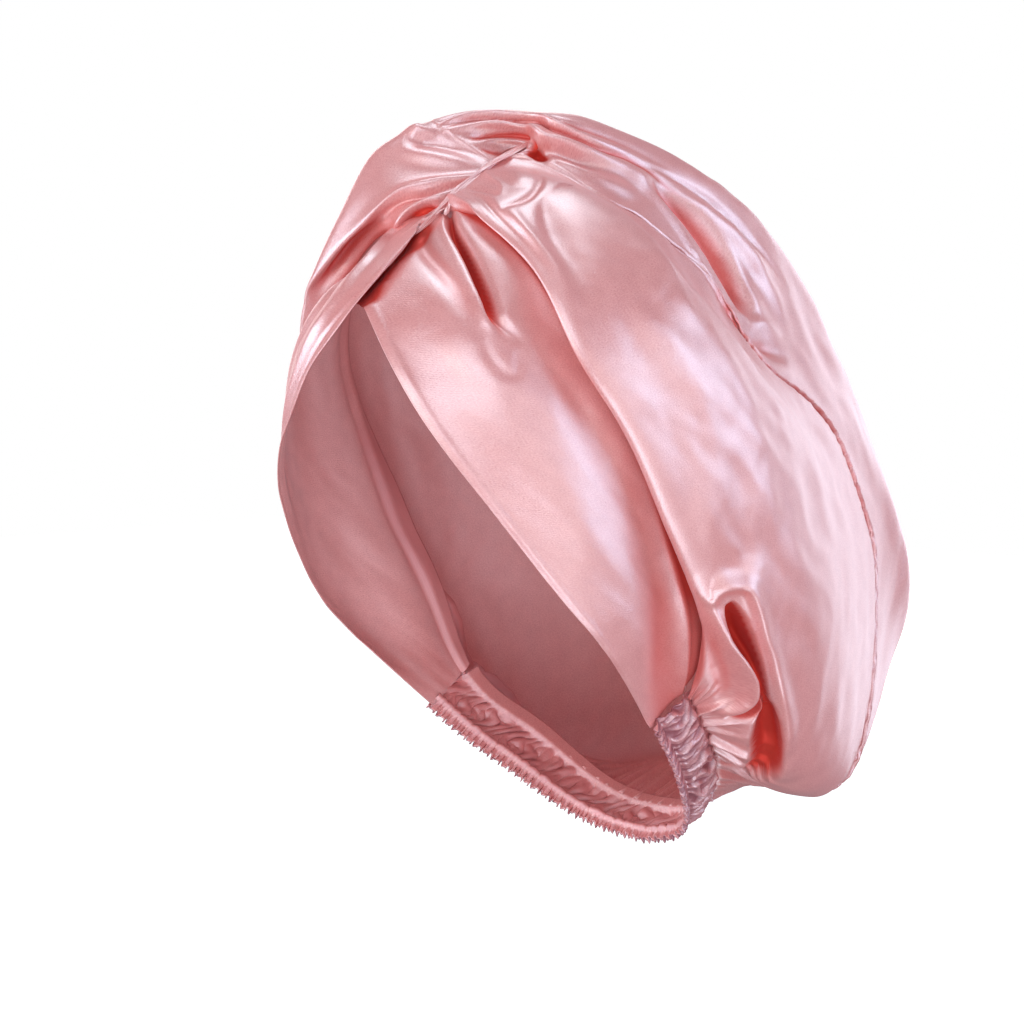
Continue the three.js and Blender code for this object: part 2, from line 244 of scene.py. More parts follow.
def foldShift(points, surface, outward, one):
    # move = up * height * bell(aside / width) + sideways * lean * bell, where aside is how far the
    # point stands from the nearest place on the fold's line; hollow is the painted shade there, from how
    # closed the fold is
    stations = np.array(one["line"], float)
    order = np.arange(len(stations))
    t = np.linspace(0, order[-1], foldForm["places"] * order[-1] + 1)
    place = splineWeights(order, t) @ stations[:, :2]
    height = np.interp(t, order, stations[:, 2])
    width = np.interp(t, order, stations[:, 3])
    lean = np.interp(t, order, stations[:, 4]) if stations.shape[1] > 4 else np.zeros(len(t))
    spine, up = withNormals(surface, place[:, 0], place[:, 1], outward)
    ahead = unit(np.gradient(spine, axis=0))
    aside = unit(np.cross(ahead, up))
    reach = foldForm["reach"] * width.max() * max(1, one["backWidth"])
    close = np.all((points > spine.min(0) - reach) & (points < spine.max(0) + reach), axis=1)
    picked = np.nonzero(close)[0]
    move = np.zeros_like(points)
    hollow = np.zeros(len(points))
    if not len(picked):
        return move, hollow
    p = points[picked]
    squared = (p**2).sum(1)[:, None] + (spine**2).sum(1)[None] - 2 * p @ spine.T
    near = squared.argmin(1)
    away = p - spine[near]
    over = (away * ahead[near]).sum(1)
    side = (away * aside[near]).sum(1)
    spread = np.where(side < 0, width[near] * one["backWidth"], width[near])
    x = np.sqrt(side**2 + np.where(np.isin(near, (0, len(t) - 1)), over, 0) ** 2) / spread
    rounded = np.exp(-(x ** (2 + 4 * one["flat"])))
    pointed = np.exp(-foldForm["steepness"] * (np.sqrt(x**2 + foldForm["bluntness"]) - foldForm["tip"]))
    bell = rounded * (1 - one["sharp"]) + pointed * one["sharp"]
    move[picked] = up[near] * (height[near] * bell)[:, None] + aside[near] * (lean[near] * rounded)[:, None]
    closed = bell * np.abs(height[near]) / np.abs(height).max()
    hollow[picked] = one["closed"] * smooth(*one["edge"], closed)
    return move, hollow


def addFolds(folds, surface, outward, base, moved, hollow):
    # each fold's move is added, and the strongest painted shade of them counts
    for one in folds:
        move, closed = foldShift(base, surface, outward, one)
        moved += move
        hollow = np.maximum(hollow, closed)
    return moved, hollow


def mirrored(one):
    # the same fold on the other half: across, lean and the wider flank change sides
    back = one["backWidth"]
    line = [[-row[0], row[1], row[2], row[3] * back, *[-lean for lean in row[4:]]] for row in one["line"]]
    return dict(one, line=line, backWidth=1 / back)


def arcLengths(grid):
    # how far along the cloth each point lies, summed from the first row and column, in millimetres
    acrossSteps = np.linalg.norm(np.diff(grid, axis=1), axis=2)
    alongSteps = np.linalg.norm(np.diff(grid, axis=0), axis=2)
    u = np.concatenate([np.zeros((len(grid), 1)), np.cumsum(acrossSteps, axis=1)], axis=1)
    v = np.concatenate([np.zeros((1, grid.shape[1])), np.cumsum(alongSteps, axis=0)], axis=0)
    return u - u.mean(1, keepdims=True), v


uvLength = 100  # millimetres of cloth to 1 of the UV map


def clothPiece(name, node, points, faces, lengths, materials):
    # the points in the imported model's frame, with a UV map of how far the cloth runs across and along;
    # the piece rides on the one body, hides the CAD node that it stands for and takes the given finishes
    mesh = bpy.data.meshes.new(name)
    mesh.from_pydata(inFrame(points).tolist(), [], faces)
    corners = np.zeros(len(mesh.loops), np.int32)
    mesh.loops.foreach_get("vertex_index", corners)
    flat = lengths[corners] / uvLength
    mesh.uv_layers.new(name="cloth").data.foreach_set("uv", flat.astype(np.float32).ravel())
    mesh.polygons.foreach_set("use_smooth", np.ones(len(mesh.polygons), bool))
    for material in materials:
        mesh.materials.append(material)
    piece = bpy.data.objects.new(name, mesh)
    bpy.context.scene.collection.objects.link(piece)
    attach(piece, "root")
    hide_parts(node)
    print(name, "made")
    return piece


def sheetPiece(name, node, points, lengths, hollow, outward, material, thickness=0.5):
    # a quad for each cell of the grid, then Solidify inwards by the thickness in millimetres
    corner = np.arange(len(points)).reshape(lengths[0].shape)
    a, b = corner[:-1, :-1].ravel(), corner[:-1, 1:].ravel()
    c, d = corner[1:, 1:].ravel(), corner[1:, :-1].ravel()
    quads = np.stack([a, b, c, d] if outward > 0 else [a, d, c, b], axis=1).tolist()
    lengths = np.stack([lengths[0].ravel(), lengths[1].ravel()], axis=1)
    piece = clothPiece(name, node, points, quads, lengths, [material, satinReverse])
    # the hollow attribute is the painted shade mask that the satin reads to deepen its colour
    piece.data.attributes.new("hollow", "FLOAT", "POINT").data.foreach_set("value", hollow.astype(np.float32))
    wall = piece.modifiers.new("clothThickness", "SOLIDIFY")
    wall.thickness = thickness / 1000
    wall.offset = -1
    wall.material_offset = 1
    return piece


def linear(colour):
    # sRGB hex to linear light: each part is c / 12.92 below 0.04045, else ((c + 0.055) / 1.055) ** 2.4
    parts = [int(colour[i:i + 2], 16) / 255 for i in (1, 3, 5)]
    return (*[c / 12.92 if c <= 0.04045 else ((c + 0.055) / 1.055) ** 2.4 for c in parts], 1)


def addNode(tree, kind, settings=None, inputs=None):
    # settings are the node's own; an input, by name or number, takes a value or another node's output
    node = tree.nodes.new(kind)
    for key, value in (settings or {}).items():
        setattr(node, key, value)
    for key, value in (inputs or {}).items():
        if isinstance(value, bpy.types.NodeSocket):
            tree.links.new(value, node.inputs[key])
        else:
            node.inputs[key].default_value = value
    return node


satinLook = {
    "deep": "#D97C78",
    "pale": "#EE9A93",
    # painted shade: the colour and the gloss's tint that closed folds, seams and rolled edges deepen to
    "paintedShadeColour": "#CA4439",
    "shine": "#F8FEFF",
    "dullShine": "#C2CCD4",
    "paintedShadeShine": "#A83A32",
    "sheenTint": "#F3DDE2",
    "sheen": 0.1,
    "sheenRoughness": 0.4,
    "ior": 2.6,  # the long floats shine more than plain polyester does
    "specularLevel": 0.95,
    "lengthwiseGloss": 0.6,
    "roughness": 0.34,
    "roughnessSpread": 0.14,
    "threadPitch": 1.1,  # mm; the real threads are ten times finer
    "threadDepth": 0.012,  # mm
    "grainSize": (0.8, 0.5),  # mm across and along
    "grainDepth": 0.1,  # mm
    "grainRange": (0.3, 0.7),  # the part of the noise that the grain's colours are spread over
    "slubSize": 7,  # mm
}


def satinMaterial(name, look):
    # polyester satin, woven with long floats: a soft broad gloss lengthwise, a fine grain of threads
    # crosswise, and painted shade: colour and gloss tint deepen to red where a fold closes on itself
    material = bpy.data.materials.new(name)
    material.use_nodes = True
    tree = material.node_tree
    tree.nodes.clear()
    across, along = look["grainSize"]
    low, high = look["grainRange"]
    rough, spread = look["roughness"], look["roughnessSpread"]
    mix = {"data_type": "RGBA"}
    cloth = addNode(tree, "ShaderNodeUVMap", {"uv_map": "cloth"}).outputs[0]
    hollow = addNode(tree, "ShaderNodeAttribute", {"attribute_name": "hollow"}).outputs["Fac"]
    threads = addNode(tree, "ShaderNodeTexWave", {"bands_direction": "Y"}, {  # 0.314 is one band in 1
        "Vector": cloth, "Scale": 0.314 * uvLength / look["threadPitch"],
        "Distortion": 1.5, "Detail": 1.0, "Detail Scale": 3.0})
    stretched = addNode(tree, "ShaderNodeMapping", None, {
        "Vector": cloth, "Scale": (uvLength / across, uvLength / along, 1)})
    grain = addNode(tree, "ShaderNodeTexNoise", None, {
        "Vector": stretched.outputs[0], "Scale": 1.0, "Detail": 2.0, "Roughness": 0.65}).outputs["Fac"]
    slub = addNode(tree, "ShaderNodeTexNoise", None, {
        "Vector": cloth, "Scale": uvLength / look["slubSize"], "Detail": 3.0})
    fleck = addNode(tree, "ShaderNodeMapRange", None, {
        "Value": grain, "From Min": low, "From Max": high, "To Min": -0.5, "To Max": 0.5})
    shade = addNode(tree, "ShaderNodeMath", None, {0: slub.outputs["Fac"], 1: fleck.outputs[0]})
    satin = addNode(tree, "ShaderNodeMix", mix, {
        0: shade.outputs[0], 6: linear(look["deep"]), 7: linear(look["pale"])})
    # painted shade: the colour goes to a deep red where the hollow mask is
    colour = addNode(tree, "ShaderNodeMix", mix, {
        0: hollow, 6: satin.outputs[2], 7: linear(look["paintedShadeColour"])})
    speck = addNode(tree, "ShaderNodeMapRange", None, {"Value": grain, "From Min": low, "From Max": high})
    glint = addNode(tree, "ShaderNodeMix", mix, {
        0: speck.outputs[0], 6: linear(look["dullShine"]), 7: linear(look["shine"])})
    # painted shade in the gloss: its tint goes dark red where the hollow mask is
    shine = addNode(tree, "ShaderNodeMix", mix, {
        0: hollow, 6: glint.outputs[2], 7: linear(look["paintedShadeShine"])})
    gloss = addNode(tree, "ShaderNodeMapRange", None, {
        "Value": grain, "To Min": rough - spread, "To Max": rough + spread})
    weave = addNode(tree, "ShaderNodeBump", None, {
        "Height": threads.outputs["Fac"], "Strength": 1.0, "Distance": look["threadDepth"] / 1000})
    bump = addNode(tree, "ShaderNodeBump", None, {
        "Height": grain, "Normal": weave.outputs[0], "Strength": 1.0, "Distance": look["grainDepth"] / 1000})
    lengthwise = addNode(tree, "ShaderNodeTangent", {"direction_type": "UV_MAP", "uv_map": "cloth"})
    shader = addNode(tree, "ShaderNodeBsdfPrincipled", None, {
        "Base Color": colour.outputs[2], "Roughness": gloss.outputs[0], "Normal": bump.outputs[0],
        "IOR": look["ior"], "Specular IOR Level": look["specularLevel"], "Specular Tint": shine.outputs[2],
        "Anisotropic": look["lengthwiseGloss"], "Tangent": lengthwise.outputs[0],
        "Sheen Weight": look["sheen"], "Sheen Roughness": look["sheenRoughness"],
        "Sheen Tint": linear(look["sheenTint"])})
    addNode(tree, "ShaderNodeOutputMaterial", None, {"Surface": shader.outputs[0]})
    return material


pinkSatin = satinMaterial("polyesterSatinPink", satinLook)
# the same satin gathered tight over the elastic, in darker colours as painted shade, and with a painted mauve
# shade in its closed valleys
shadedGatheredSatin = satinMaterial("polyesterSatinGatheredShaded", dict(
    satinLook, deep="#C87476", pale="#DD8E8E", paintedShadeColour="#82424A",
    dullShine="#B4BAC6", paintedShadeShine="#8C7480"))
# the reverse of the same satin: duller, since the short threads lie on this side, and with no painted shade
# in its folds
satinReverse = satinMaterial("polyesterSatinReverse", dict(
    satinLook, paintedShadeColour=satinLook["deep"], paintedShadeShine=satinLook["dullShine"], roughness=0.62))
print("finishes made")


# The crown's folds. A station's place across is 0 at the middle of the back and 1 at the left front
# edge, below 0 on the right half; its place along is 0 at the knot and 1 at the nape. First the folds
# behind the left rolled edge, beside the knot.
rollFolds = {
    "bright crest of the roll": fold([[0.9, 0, 0.8, 1.3], [0.93, 0.037, 1.9, 1.4], [0.948, 0.067, 2.4, 1.5],
        [0.953, 0.094, 2.6, 1.6], [0.952, 0.13, 2.4, 1.8], [0.945, 0.165, 2, 2.1], [0.935, 0.2, 1.8, 2.4],
        [0.932, 0.26, 1.6, 2.8], [0.932, 0.36, 1.4, 3.2], [0.935, 0.5, 1, 3.6], [0.94, 0.62, 0, 4]]),
    "valley beside the crest": fold([[0.85, 0.005, 0, 1.6], [0.885, 0.045, -1.6, 1.8],
        [0.908, 0.085, -2.2, 2], [0.91, 0.125, -2, 2.3], [0.898, 0.17, -1.3, 3], [0.885, 0.23, 0, 3]]),
    "second ridge": fold([[0.855, 0.075, 0, 2.6], [0.878, 0.105, 1.2, 2.8], [0.88, 0.14, 1.3, 3.2],
        [0.868, 0.19, 1, 4], [0.86, 0.26, 0, 5]]),
    "mauve valley": fold([[0.76, 0.085, 0, 3.5], [0.79, 0.11, -1.6, 4], [0.815, 0.14, -2, 5],
        [0.822, 0.185, -1.5, 6], [0.83, 0.25, 0, 7]]),
    "ball beside the knot": fold([[0.6, 0.022, 0.4, 4.4], [0.66, 0.036, 1.5, 5.2], [0.74, 0.05, 1.2, 5],
        [0.79, 0.062, 0, 4.4]]),
    "rim of the ball": fold([[0.52, 0.045, 0, 1.6], [0.63, 0.06, -0.8, 1.8], [0.735, 0.072, -1.3, 2],
        [0.81, 0.082, -1.5, 2.2], [0.865, 0.083, -1, 2], [0.89, 0.08, 0, 2]], closed=0.2, edge=(0.3, 1)),
    "facet of the ball": fold([[0.55, 0.001, 0.4, 1.2], [0.714, 0.019, 0.8, 1.4], [0.79, 0.036, 0.9, 1.4],
        [0.84, 0.054, 0.3, 1.4]], sharp=0.5),
    "hollow beside the facet": fold([[0.83, 0.003, 0, 1.6], [0.835, 0.02, -1.4, 1.9],
        [0.845, 0.038, -1.4, 1.8], [0.855, 0.056, 0, 1.5]]),
}
# The soft side panel above the ear, on both sides.
sideFolds = {
    "soft buckle one": fold([[0.69, 0.22, 0, 9], [0.676, 0.27, -1.1, 9], [0.67, 0.31, 0, 9]]),
    "soft buckle two": fold([[0.67, 0.295, 0, 8], [0.655, 0.335, -1.1, 8], [0.64, 0.375, 0, 8]]),
    "soft buckle three": fold([[0.73, 0.41, 0, 8], [0.7, 0.45, -1.1, 8], [0.67, 0.48, 0, 8]]),
    "soft buckle four": fold([[0.71, 0.475, 0, 8], [0.68, 0.5, -1, 8], [0.65, 0.525, 0, 8]]),
    "soft buckle five": fold([[0.6, 0.3, 0, 7], [0.57, 0.345, 1, 7], [0.56, 0.39, 0, 7]]),
    "soft buckle six": fold([[0.55, 0.2, 0, 7], [0.54, 0.24, -0.9, 7], [0.52, 0.29, 0, 7]]),
    "long soft hollow": fold([[0.8, 0.3, 0, 10], [0.8, 0.42, -1.2, 11], [0.79, 0.55, 0, 12]]),
}
# The lobe, the tongue and the deep cavities low beside the nape, on both sides.
pouchFolds = {
    "ridge over the lobe": fold([[0.93, 0.68, 0, 4], [0.9, 0.708, 1.6, 3.4], [0.88, 0.712, 2.2, 3],
        [0.862, 0.7, 2.6, 2.8], [0.838, 0.684, 3.2, 2.6], [0.809, 0.674, 3.8, 2.6], [0.791, 0.677, 4.2, 2.4],
        [0.786, 0.7, 4.4, 2.4], [0.786, 0.723, 4.4, 2.4], [0.786, 0.744, 4.4, 2.4], [0.782, 0.761, 4.4, 2.4],
        [0.779, 0.784, 4.4, 2.5], [0.772, 0.813, 4.4, 2.6], [0.755, 0.84, 4.2, 2.8], [0.728, 0.87, 3.6, 3],
        [0.69, 0.9, 2, 3.6], [0.65, 0.93, 0, 4]], backWidth=1.9),
    "cavity under the lobe": fold([[0.841, 0.71, 0, 1.6], [0.84, 0.724, -7, 3], [0.841, 0.748, -13, 4.2],
        [0.843, 0.775, -15, 4.4], [0.836, 0.802, -14, 3.6], [0.826, 0.823, -11, 2.6], [0.816, 0.842, -8, 2],
        [0.802, 0.856, -5, 1.6], [0.79, 0.868, 0, 1.5]], closed=1, edge=(0.1, 0.32), flat=0.7),
    "second cavity": fold([[0.801, 0.842, 0, 1.4], [0.791, 0.86, -8, 2.4], [0.78, 0.879, -13, 4],
        [0.75, 0.902, -14, 5.4], [0.706, 0.92, -12, 5.6], [0.65, 0.945, -8, 5.2],
        [0.585, 0.975, -3, 5]], closed=1, edge=(0.1, 0.35), flat=0.6),
    "shadow under the tongue": fold([[0.826, 0.852, 0, 1.6], [0.815, 0.872, -5, 2.4], [0.812, 0.9, -6, 2.8],
        [0.818, 0.93, -4.5, 2.6], [0.83, 0.955, 0, 2]], closed=0.8, edge=(0.15, 0.4)),
    "tongue's rolled edge": fold([[0.89, 0.712, 0, 2.6, 0], [0.897, 0.745, 3, 3, -1.5],
        [0.905, 0.78, 5, 3.4, -4], [0.898, 0.805, 6, 3.6, -4.5], [0.88, 0.828, 6.5, 3.6, -5],
        [0.862, 0.848, 6.5, 3.4, -5], [0.85, 0.868, 6.5, 3, -4], [0.846, 0.89, 6, 2.8, -2],
        [0.846, 0.915, 5, 2.6, -1], [0.85, 0.945, 3.5, 2.6, 0], [0.862, 0.98, 0, 2.6, 0]]),
    "fold under the lobe's front": fold([[0.96, 0.76, 0, 3], [0.95, 0.82, -1.8, 3.4], [0.93, 0.87, -2.4, 4],
        [0.9, 0.91, -2, 4], [0.88, 0.95, 0, 3]], closed=0.3),
    "soft trough above the cavity": fold([[0.74, 0.55, 0, 8], [0.775, 0.62, -1.5, 7], [0.79, 0.65, -1, 5],
        [0.79, 0.67, 0, 5]]),
}
# The back panel's top beside the left seam: the spoon, the pleats over the top and the pocket.
gussetFolds = {
    "trough of the spoon": fold([[0.2, 0.012, -1, 2.2], [0.27, 0.026, -3.5, 3], [0.305, 0.045, -4.2, 3.2],
        [0.33, 0.08, -3.8, 3.4], [0.325, 0.11, -3, 3.6], [0.318, 0.137, -2, 4], [0.33, 0.17, 0, 5]]),
    "mouth of the spoon": fold([[0.08, 0.011, 0, 1.2], [0.22, 0.017, -3, 1.8], [0.295, 0.026, -4.5, 2.4],
        [0.335, 0.036, -4.5, 2.4], [0.358, 0.046, 0, 2]], closed=1, edge=(0.1, 0.5), flat=0.4),
    "bright bank of the spoon": fold([[0.318, 0.044, 0, 2.4], [0.352, 0.058, 1.6, 2.6], [0.376, 0.075, 2, 3],
        [0.385, 0.102, 2, 3.2], [0.372, 0.133, 1.4, 3.4], [0.36, 0.16, 0, 4]]),
    "third ridge over the top": fold([[-0.4, 0.046, 0.6, 1.3], [-0.28, 0.0395, 2.2, 1.5],
        [-0.182, 0.038, 2.8, 1.7], [-0.104, 0.0345, 3.1, 1.8], [-0.006, 0.029, 3.3, 2],
        [0.19, 0.034, 3.4, 2.2], [0.266, 0.055, 3, 2.6], [0.302, 0.094, 3, 3.2], [0.307, 0.131, 2.6, 3.6],
        [0.307, 0.166, 2, 4], [0.32, 0.202, 0, 4]]),
    "dark line over the top": fold([[-0.4, 0.052, 0, 0.9], [-0.232, 0.0505, -1.8, 1],
        [-0.142, 0.0485, -2.2, 1], [-0.051, 0.0425, -2.4, 1.1], [0.1, 0.044, -2.4, 1.1],
        [0.221, 0.0605, -2.6, 1.3], [0.276, 0.102, -2.6, 1.6], [0.273, 0.131, -2.4, 2],
        [0.272, 0.162, -2, 2.4], [0.28, 0.197, -1.2, 3],
        [0.27, 0.26, 0, 4]], closed=0.7, edge=(0.3, 0.8), sharp=0.5),
    "second ridge over the top": fold([[-0.39, 0.058, 0.4, 1.2], [-0.28, 0.0585, 2, 1.3],
        [-0.204, 0.0595, 2.5, 1.4], [-0.135, 0.059, 2.7, 1.4], [-0.058, 0.0525, 2.7, 1.5],
        [0.06, 0.0515, 2.7, 1.6], [0.178, 0.0585, 2.7, 1.8], [0.248, 0.087, 2.4, 2.2],
        [0.262, 0.119, 1.4, 3], [0.262, 0.15, 0, 3]]),
    "outer dark line over the top": fold([[-0.39, 0.065, 0, 1.1], [-0.25, 0.0665, -1.8, 1.2],
        [-0.1, 0.063, -2.1, 1.2], [0.05, 0.0585, -2.1, 1.3], [0.17, 0.071, -2, 1.5],
        [0.225, 0.11, -1.4, 2.2], [0.235, 0.17, -0.8, 3],
        [0.22, 0.24, 0, 3]], closed=0.45, edge=(0.3, 0.8), sharp=0.5),
    "crease under the third ridge": fold([[-0.37, 0.033, 0, 1], [-0.3, 0.0265, -1.4, 1.1],
        [-0.213, 0.022, -1.8, 1.2], [-0.101, 0.0185, -2, 1.3], [0.02, 0.0135, -2, 1.4],
        [0.1, 0.012, 0, 1.4]], closed=0.85, sharp=0.4),
    "flap in the corner": fold([[-0.38, 0.028, 0, 1], [-0.27, 0.0195, 0.9, 1.1], [-0.163, 0.0135, 1.1, 1.1],
        [-0.03, 0.008, 1, 1.1], [0.06, 0.006, 0, 1]]),
    "line under the flap": fold([[-0.37, 0.0225, 0, 0.8], [-0.335, 0.0135, -1.1, 0.9],
        [-0.285, 0.005, -1.3, 0.9], [-0.25, 0, -1, 0.9]], closed=0.7),
    "pocket behind the flap": fold([[0.298, 0.155, 0, 2.4], [0.303, 0.185, -4.5, 4.2], [0.31, 0.22, -7.5, 6],
        [0.322, 0.255, -9, 7], [0.339, 0.285, -7.5, 6.4], [0.354, 0.31, -3, 5],
        [0.364, 0.328, 0, 4.5]], closed=0.8, edge=(0.15, 0.7), flat=0.4),
    "flap over the pocket": fold([[0.315, 0.14, 0, 1.3, 0], [0.334, 0.175, 1.2, 1.3, -0.6],
        [0.353, 0.205, 1.6, 1.3, -0.8], [0.37, 0.232, 1.8, 1.4, -0.8], [0.384, 0.26, 1.8, 1.5, -0.8],
        [0.394, 0.287, 1.2, 1.8, -0.4], [0.4, 0.32, 0, 2, 0]]),
    "ridge past the pocket": fold([[0.28, 0.18, 0, 3], [0.272, 0.225, 2.6, 4], [0.27, 0.265, 3.4, 4.6],
        [0.28, 0.305, 3, 5], [0.3, 0.345, 1.8, 5.5], [0.325, 0.39, 0, 7]]),
    "small dimple below": fold([[0.402, 0.305, 0, 2.5], [0.395, 0.33, -3, 3.2], [0.385, 0.358, -3.4, 3.8],
        [0.365, 0.39, 0, 4]], closed=0.35, edge=(0.3, 1)),
    "bridge between": fold([[0.395, 0.288, 0, 2], [0.37, 0.312, 1.8, 2.2], [0.35, 0.338, 1.4, 2.6],
        [0.34, 0.365, 0, 3]]),
    "outer crease": fold([[0.265, 0.15, 0, 1.6], [0.248, 0.19, -2, 1.8], [0.24, 0.235, -2.6, 2.2],
        [0.243, 0.29, -2, 2.6], [0.26, 0.35, 0, 3.5]], sharp=0.5),
    "outer swell": fold([[0.24, 0.17, 0, 4], [0.2, 0.22, 1.2, 7], [0.19, 0.3, 1.2, 9], [0.22, 0.42, 0, 10]]),
    "broad pleat of the top": fold([[0.12, 0.1, 0, 6], [0.1, 0.2, -2.5, 8], [0.12, 0.32, -1.5, 9],
        [0.14, 0.42, 0, 10]]),
}
# The long pleats from the knot on the right half.
farRollFolds = {
    "long ridge from the knot": fold([[-0.55, 0, 1.5, 2], [-0.7, 0.008, 3, 2.3], [-0.8, 0.017, 3.8, 2.6],
        [-0.87, 0.032, 4, 2.8], [-0.915, 0.058, 4.2, 3], [-0.935, 0.092, 4.2, 3.2], [-0.94, 0.125, 4, 3.2],
        [-0.936, 0.165, 3.4, 3.4], [-0.925, 0.21, 2.2, 3.8], [-0.9, 0.25, 0, 4]]),
    "trough under the long ridge": fold([[-0.69, 0, -2, 1.6], [-0.81, 0.011, -3, 1.9],
        [-0.885, 0.024, -3.4, 2], [-0.931, 0.05, -3.2, 2.2], [-0.955, 0.085, -3.4, 2.4],
        [-0.965, 0.115, -5, 2.8], [-0.968, 0.15, -7, 3.4], [-0.965, 0.185, -6.5, 3.6],
        [-0.95, 0.215, -3.5, 3.4], [-0.935, 0.24, 0, 3.4]], closed=0.75),
    "second ridge from the knot": fold([[-0.72, 0, 1.2, 1.5], [-0.8, 0.006, 2.4, 1.6],
        [-0.885, 0.015, 3, 1.7], [-0.94, 0.035, 3.2, 1.8], [-0.975, 0.06, 3.2, 2], [-1, 0.085, 2, 2.4]]),
    "pleat mouth": fold([[-0.84, 0, -2, 1.2], [-0.9, 0.004, -3.4, 1.5], [-0.95, 0.016, -5, 1.9],
        [-0.985, 0.035, -4.5, 2.2], [-1, 0.05, -2, 2.4]], closed=1),
    "third ridge from the knot": fold([[-0.93, 0, 2.2, 1.4], [-0.97, 0.006, 2.6, 1.6],
        [-0.995, 0.014, 2.4, 1.8]]),
    "hollow under the corner": fold([[-0.42, 0.012, 0, 3], [-0.46, 0.03, -2.4, 3], [-0.52, 0.045, -3, 3.5],
        [-0.56, 0.06, 0, 4]]),
    "swell below the hollow": fold([[-0.5, 0.008, 0, 3], [-0.55, 0.02, 1.8, 3.5], [-0.6, 0.036, 2, 4],
        [-0.64, 0.055, 0, 5]]),
    "corner by the far seam": fold([[-0.44, 0.045, 0, 3], [-0.48, 0.065, 3, 4], [-0.52, 0.09, 0, 5]]),
}
bothSides = {**sideFolds, **pouchFolds}
crownFolds = list({**gussetFolds, **rollFolds, **bothSides, **farRollFolds}.values())
crownFolds += [mirrored(one) for one in bothSides.values()]

# How the side panels' front edges are drawn into the knot, in millimetres: the near one on top, the
# far one beneath, both fading out along the crown.
knotDraw = {"reach": 0.05, "near": (-6.7, 0, 1.0), "far": (6.7, 0, -2.5)}
# How the side panels' front edges roll under, and how much painted shade their undersides get.
rollEdge = {"across": (0.955, 1.0), "depth": 2.6, "shade": 0.5, "farKnotFlare": 4.5}
# The gathers at the nape: rows of wave count over half the width, height, and shift of phase.
napeGathers = {"reach": 0.12, "waves": [[17, 1.5, 0.4], [29, 0.9, 1.9], [47, 0.5, 3.1]], "drift": 0.12}
# The stitched seams: how far across each runs at its places along, and its rolled rim and open line.
seams = {
    "left": {
        "rim": 1,
        "along": [0, 0.012, 0.031, 0.054, 0.078, 0.105, 0.135, 0.16, 0.19, 0.23, 0.27, 0.31, 0.36, 0.44, 0.52,
                  0.6, 0.68, 0.76, 0.86, 1.0],
        "across": [0.35, 0.352, 0.368, 0.404, 0.438, 0.466, 0.452, 0.425, 0.409, 0.383, 0.39, 0.405, 0.427,
                   0.42, 0.406, 0.433, 0.438, 0.475, 0.5, 0.48],
    },
    "right": {
        "rim": 0.4,
        "along": [0, 0.013, 0.025, 0.039, 0.06, 0.1, 0.16, 0.25, 0.4, 0.6, 0.8, 1.0],
        "across": [0.433, 0.41, 0.405, 0.4, 0.398, 0.405, 0.415, 0.4, 0.42, 0.43, 0.46, 0.46],
    },
}
seamLook = {
    "length": 420,  # mm from the knot to the nape
    "rimHeight": 1.1, "rimWidth": 0.8, "rimAside": 1.1,
    "lineDepth": 3.4, "lineWidth": 1.2, "lineAside": 0.7,
    "stitchPitch": 7.5, "wander": 0.34,
    "puckerHeight": 0.3, "puckerReach": 3,
    "shade": 0.95, "shadeWidth": 1.7,
}
# Soft buckles of the whole cloth: wave length in millimetres, slope of its flanks, how far it turns
# from the cloth's length, and where it starts.
softBuckles = [[46, 0.09, 0.35, 0.2], [31, 0.11, -0.5, 1.7], [24, 0.11, 0.15, 4.0], [17, 0.09, 0.6, 2.2],
               [13.5, 0.06, -0.25, 5.1], [9.5, 0.035, 0.3, 0.9], [7.2, 0.02, -0.7, 3.3]]


def seamAt(name, along):
    # a spline through the seam's places
    seam = seams[name]
    return splineWeights(seam["along"], along) @ np.array(seam["across"])


def buckled(x, y, waves):
    # height = sum of sines across turned lines, each swelling and fading by slower sines of its own
    height = np.zeros_like(x)
    for length, slope, turn, start in waves:
        line = x * math.cos(turn) + y * math.sin(turn)
        along = y * math.cos(turn) - x * math.sin(turn)
        bend = 0.9 * np.sin(along / (1.1 * length) + start)
        bend = bend + 0.5 * np.sin(along / (0.47 * length) + 2 * start)
        swell = 0.5 + 0.5 * np.sin(along / (0.62 * length) + 3 * start + 0.7 * np.sin(line / (0.8 * length)))
        height += slope * length / (2 * np.pi) * np.sin(2 * np.pi * line / length + bend) * swell
    return height


def besideSeam(u, v):
    # distance from the nearer seam in millimetres, positive on the back panel's side
    seam = np.where(u > 0, seamAt("left", v), seamAt("right", v))
    mark = np.where(u > 0, seam, -seam)
    speed = np.linalg.norm(crownPoint(mark + 1e-3, v) - crownPoint(mark - 1e-3, v), axis=1) / 2e-3
    return (seam - np.abs(u)) * speed


def seamWander(v):
    # how the stitched line wavers, in millimetres: the sum of two sines along it
    way = v * seamLook["length"]
    pitch = seamLook["stitchPitch"]
    wander = np.sin(2 * np.pi * way / pitch + 1.3 * np.sin(way / 11))
    wander = wander + 0.7 * np.sin(2 * np.pi * way / (0.61 * pitch) + 1)
    return seamLook["wander"] * wander * smooth(0.16, 0.24, v)


